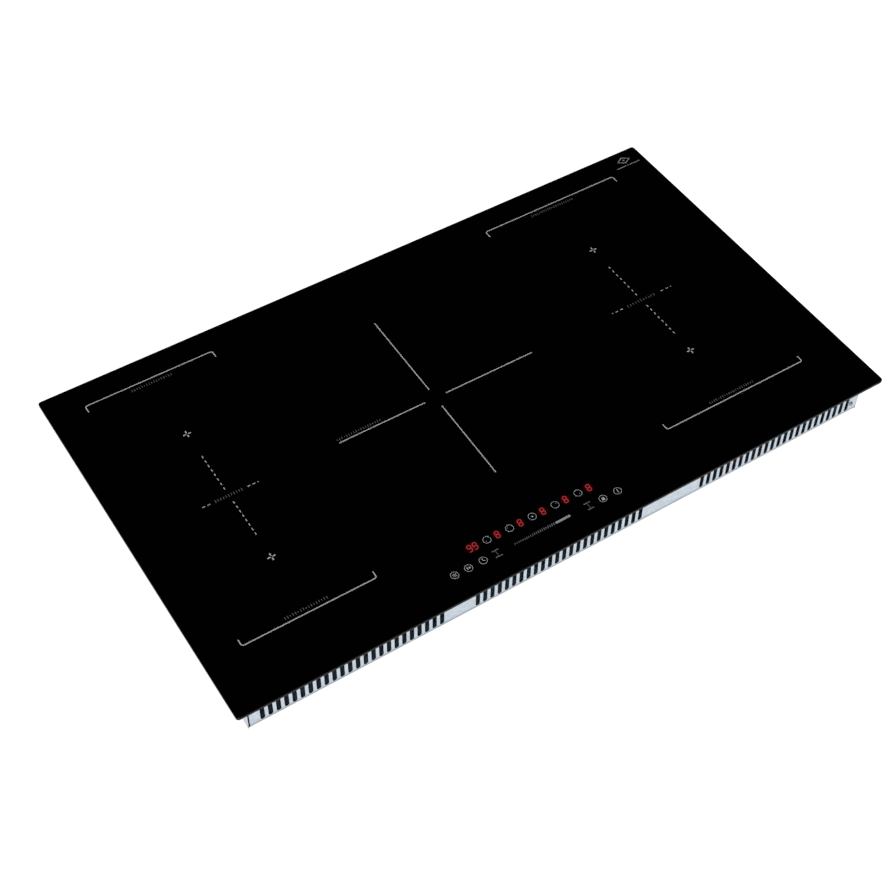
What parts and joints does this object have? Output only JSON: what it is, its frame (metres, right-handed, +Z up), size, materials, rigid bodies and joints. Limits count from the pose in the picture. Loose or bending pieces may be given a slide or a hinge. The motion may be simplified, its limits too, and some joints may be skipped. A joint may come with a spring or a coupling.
{
  "type": "electric induction cooktop",
  "caption": "Built-in induction cooktop: black glass plate with printed zones and touch controls over a vented steel chassis with sprung coils and fans.",
  "frame": {"origin": "centre of the footprint, at the underside of the chassis floor", "axes": "+X along the width to the user's right, +Y to the back, +Z up through the glass"},
  "size_m": [0.9, 0.52, 0.059],
  "materials": {
    "black_glass": "polished black ceramic glass, ground edge",
    "seal_foam": "closed-cell foam",
    "frame_steel": "satin",
    "galvanised_steel": "bright hot-dip galvanised sheet with fine spangle",
    "screw_steel": "zinc-plated",
    "sheet_aluminium": "mill finish",
    "white_plastic": "moulded",
    "circuit_board": "solder mask",
    "cast_aluminium": "extruded",
    "electronic_parts": "moulded components",
    "black_plastic": "moulded",
    "fan_plastic": "moulded",
    "dark_plastic": "glass-filled, moulded",
    "spring_steel": "bright wire",
    "display_plastic": "display housing",
    "grey_plastic": "moulded nylon",
    "lead_insulation": "silicone insulation",
    "copper_litz": "varnished copper strands",
    "ferrite": "sintered, dull",
    "mica": "pressed mica sheet",
    "sensor_rubber": "silicone",
    "print": "fired ceramic print",
    "display_light": "red light through the glass"
  },
  "bodies": {
    "chassis": {"glass_top": "black_glass", "seal_strip": "seal_foam", "glass_frame": "frame_steel", "chassis_tray": "galvanised_steel", "side_panel_left": "galvanised_steel", "side_panel_right": "galvanised_steel", "panel_screws": "screw_steel", "coil_plate_left": "sheet_aluminium", "coil_plate_centre": "sheet_aluminium", "coil_plate_right": "sheet_aluminium", "support_pillars": "white_plastic", "power_board_left": "circuit_board", "power_board_right": "circuit_board", "heat_sink_left": "cast_aluminium", "heat_sink_right": "cast_aluminium", "power_parts_left": "electronic_parts", "power_parts_right": "electronic_parts", "fan_housing_left": "black_plastic", "fan_housing_right": "black_plastic", "control_carrier": "dark_plastic", "control_board": "circuit_board", "touch_springs": "spring_steel", "led_displays": "display_plastic", "terminal_box": "black_plastic", "terminal_block": "white_plastic", "cable_gland": "grey_plastic", "supply_leads": "lead_insulation"},
    "coil_rear_left": {"coil_carrier_rear_left": "dark_plastic", "coil_winding_rear_left": "copper_litz", "ferrites_rear_left": "ferrite", "mica_sheet_rear_left": "mica", "heat_sensor_rear_left": "sensor_rubber", "coil_springs_rear_left": "spring_steel"},
    "coil_front_left": {"coil_carrier_front_left": "dark_plastic", "coil_winding_front_left": "copper_litz", "ferrites_front_left": "ferrite", "mica_sheet_front_left": "mica", "heat_sensor_front_left": "sensor_rubber", "coil_springs_front_left": "spring_steel"},
    "coil_centre": {"coil_carrier_centre": "dark_plastic", "coil_winding_centre": "copper_litz", "ferrites_centre": "ferrite", "mica_sheet_centre": "mica", "heat_sensor_centre": "sensor_rubber", "coil_springs_centre": "spring_steel"},
    "coil_rear_right": {"coil_carrier_rear_right": "dark_plastic", "coil_winding_rear_right": "copper_litz", "ferrites_rear_right": "ferrite", "mica_sheet_rear_right": "mica", "heat_sensor_rear_right": "sensor_rubber", "coil_springs_rear_right": "spring_steel"},
    "coil_front_right": {"coil_carrier_front_right": "dark_plastic", "coil_winding_front_right": "copper_litz", "ferrites_front_right": "ferrite", "mica_sheet_front_right": "mica", "heat_sensor_front_right": "sensor_rubber", "coil_springs_front_right": "spring_steel"},
    "fan_left": {"fan_rotor_left": "fan_plastic"},
    "fan_right": {"fan_rotor_right": "fan_plastic"},
    "cover": {"terminal_cover": "black_plastic"}
  },
  "joints": [
    {"name": "fan_left_spin", "type": "hinge", "parent": "chassis", "child": "fan_left", "pos_m": [-0.318, 0.112, 0.0143], "axis": [0, 0, 1], "continuous": true},
    {"name": "fan_right_spin", "type": "hinge", "parent": "chassis", "child": "fan_right", "pos_m": [0.28, 0.112, 0.0143], "axis": [0, 0, 1], "continuous": true},
    {"name": "cover_hinge", "type": "hinge", "parent": "chassis", "child": "cover", "pos_m": [0.123, 0.246, 0.0442], "axis": [1, 0, 0], "range_deg": [0, 85]},
    {"name": "coil_rear_left_press", "type": "slide", "parent": "chassis", "child": "coil_rear_left", "axis": [0, 0, 1], "range_m": [-0.003, 0], "stiffness_N_per_m": 5000, "springref_m": 0.006, "deforming": ["coil_springs_rear_left"]},
    {"name": "coil_front_left_press", "type": "slide", "parent": "chassis", "child": "coil_front_left", "axis": [0, 0, 1], "range_m": [-0.003, 0], "stiffness_N_per_m": 5000, "springref_m": 0.006, "deforming": ["coil_springs_front_left"]},
    {"name": "coil_centre_press", "type": "slide", "parent": "chassis", "child": "coil_centre", "axis": [0, 0, 1], "range_m": [-0.003, 0], "stiffness_N_per_m": 5000, "springref_m": 0.006, "deforming": ["coil_springs_centre"]},
    {"name": "coil_rear_right_press", "type": "slide", "parent": "chassis", "child": "coil_rear_right", "axis": [0, 0, 1], "range_m": [-0.003, 0], "stiffness_N_per_m": 5000, "springref_m": 0.006, "deforming": ["coil_springs_rear_right"]},
    {"name": "coil_front_right_press", "type": "slide", "parent": "chassis", "child": "coil_front_right", "axis": [0, 0, 1], "range_m": [-0.003, 0], "stiffness_N_per_m": 5000, "springref_m": 0.006, "deforming": ["coil_springs_front_right"]}
  ]
}
